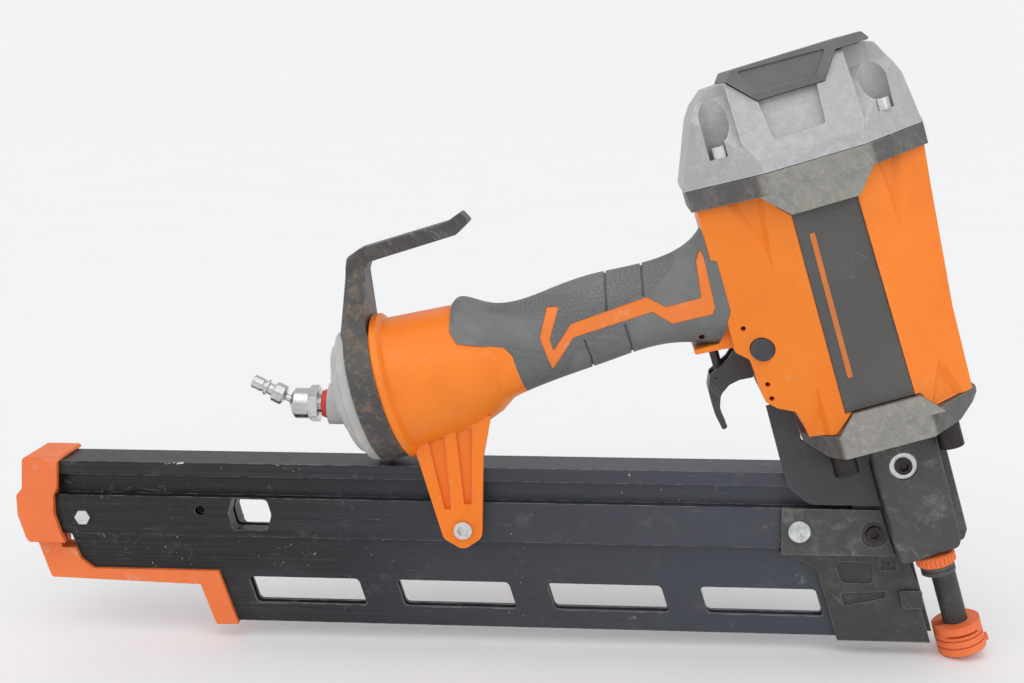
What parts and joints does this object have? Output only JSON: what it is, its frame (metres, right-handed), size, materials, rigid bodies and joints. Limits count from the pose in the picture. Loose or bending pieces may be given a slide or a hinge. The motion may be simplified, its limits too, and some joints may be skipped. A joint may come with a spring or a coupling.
{
  "type": "pneumatic framing nailer",
  "caption": "Air-powered framing nailer with a slanted driver body, rubber grip, strip magazine, contact trip with depth wheel, rafter hook and swivel air plug.",
  "frame": {"origin": "centre of the work-contact pad's face, on the driver axis, where the nail leaves", "axes": "+X along the magazine towards the nose, +Y across the tool away from the side with the cover screw, +Z square to the magazine towards the handle; the driver axis leans 16.7 degrees from Z in the XZ plane"},
  "size_m": [0.5587, 0.1088, 0.3453],
  "materials": {
    "orange_paint": "painted orange casting",
    "dark_cast": "dark coated casting, worn",
    "panel": "matte",
    "stripe": "printed",
    "cap_alu": "cast, silver paint",
    "screw_steel": "bright",
    "deflector_dark": "matte",
    "gasket": "matte",
    "sleeve_alu": "turned",
    "bumper_rubber": "matte",
    "tool_steel": "ground",
    "inner_plastic": "matte",
    "nose_dark": "dark coated casting and steel, worn",
    "black_steel": "black oxide",
    "orange_plastic": "moulded",
    "orange_soft": "soft moulding",
    "black_plastic": "moulded",
    "grip_rubber": "textured",
    "orange_paint_trim": "moulded",
    "end_grey": "painted grey",
    "seal_red": "matte",
    "plug_chrome": "plated",
    "hook_black": "moulded, scuffed",
    "magazine_black": "black anodised",
    "rivet_white": "pale paint"
  },
  "bodies": {
    "housing": {"body_casting": "orange_paint", "collar": "dark_cast", "nose_flange": "dark_cast", "side_panels": "panel", "panel_stripes": "stripe", "cap": "cap_alu", "cap_screws": "screw_steel", "deflector": "deflector_dark", "cap_gasket": "gasket", "cylinder_sleeve": "sleeve_alu", "sleeve_ring": "gasket", "bumper": "bumper_rubber", "head_valve_spring": "screw_steel", "nose_casting": "nose_dark", "nose_cover": "nose_dark", "cover_screw": "black_steel", "cover_washer": "screw_steel", "flange_bolts": "black_steel", "wheel_post": "nose_dark", "pivot_pin": "black_steel", "pivot_caps": "black_plastic", "valve_body": "black_plastic", "valve_spring": "screw_steel", "handle_grip": "grip_rubber", "grip_inlays": "orange_paint_trim", "rear_bell": "orange_paint", "arm_screw": "screw_steel", "handle_end_cap": "end_grey", "swivel_seal": "seal_red", "magazine_body": "magazine_black", "magazine_end_cap": "orange_plastic", "cap_nuts": "screw_steel", "magazine_guard": "nose_dark", "guard_latch": "nose_dark", "front_brackets": "nose_dark", "bracket_bolts": "black_steel", "bracket_rivets": "rivet_white", "link_guard": "black_plastic"},
    "trigger": {"trigger": "black_plastic", "lever_pin": "black_steel"},
    "trip_lever": {"trip_lever": "screw_steel"},
    "valve_stem": {"valve_stem": "black_plastic"},
    "contact_trip": {"contact_tube": "nose_dark", "contact_pad": "orange_soft", "trip_link": "nose_dark"},
    "depth_wheel": {"depth_wheel": "orange_plastic"},
    "driver": {"piston": "sleeve_alu", "piston_ring": "gasket", "driver_blade": "tool_steel"},
    "head_valve": {"head_valve": "inner_plastic"},
    "follower": {"pusher": "nose_dark", "pusher_knob": "black_plastic"},
    "hook": {"rafter_hook": "hook_black"},
    "swivel": {"swivel_barrel": "plug_chrome"},
    "plug": {"air_plug": "plug_chrome"}
  },
  "joints": [
    {"name": "trigger_pull", "type": "hinge", "parent": "housing", "child": "trigger", "pos_m": [-0.1218, 0, 0.17769], "axis": [0, 1, 0], "range_deg": [0, 10], "stiffness_Nm_per_rad": 1, "springref_deg": -5.73},
    {"name": "trip_lever_tilt", "type": "hinge", "parent": "trigger", "child": "trip_lever", "pos_m": [-0.14345, 0, 0.15658], "axis": [0, -1, 0], "range_deg": [0, 8], "stiffness_Nm_per_rad": 0.05, "springref_deg": -11.46},
    {"name": "valve_press", "type": "slide", "parent": "housing", "child": "valve_stem", "axis": [-0.2874, 0, 0.9578], "range_m": [0, 0.0045], "stiffness_N_per_m": 300, "springref_m": -0.004, "deforming": ["valve_spring"]},
    {"name": "contact_trip_press", "type": "slide", "parent": "housing", "child": "contact_trip", "axis": [-0.2874, 0, 0.9578], "range_m": [0, 0.008], "stiffness_N_per_m": 400, "springref_m": -0.01},
    {"name": "depth_wheel_turn", "type": "hinge", "parent": "housing", "child": "depth_wheel", "pos_m": [-0.02155, -0.0182, 0.05618], "axis": [-0.2874, 0, 0.9578], "range_deg": [0, 1080]},
    {"name": "driver_stroke", "type": "slide", "parent": "housing", "child": "driver", "axis": [0.2874, 0, -0.9578], "range_m": [0, 0.106]},
    {"name": "head_valve_lift", "type": "slide", "parent": "housing", "child": "head_valve", "axis": [-0.2874, 0, 0.9578], "range_m": [0, 0.006], "stiffness_N_per_m": 800, "springref_m": -0.005, "deforming": ["head_valve_spring"]},
    {"name": "follower_slide", "type": "slide", "parent": "housing", "child": "follower", "axis": [-1, 0, 0], "range_m": [0, 0.39], "stiffness_N_per_m": 10, "springref_m": -1},
    {"name": "hook_turn", "type": "hinge", "parent": "housing", "child": "hook", "pos_m": [-0.33299, 0, 0.14597], "axis": [0.9578, 0, 0.2874], "range_deg": [-100, 100]},
    {"name": "swivel_spin", "type": "hinge", "parent": "housing", "child": "swivel", "pos_m": [-0.375, 0, 0.1374], "axis": [-1, 0, 0], "continuous": true},
    {"name": "plug_tilt", "type": "hinge", "parent": "swivel", "child": "plug", "pos_m": [-0.38, 0, 0.1374], "axis": [0, 1, 0], "range_deg": [-56, 4]}
  ],
  "couplings": [
    {"joint": "valve_press", "follows": "trigger_pull", "m_per_rad": 0.0249}
  ]
}
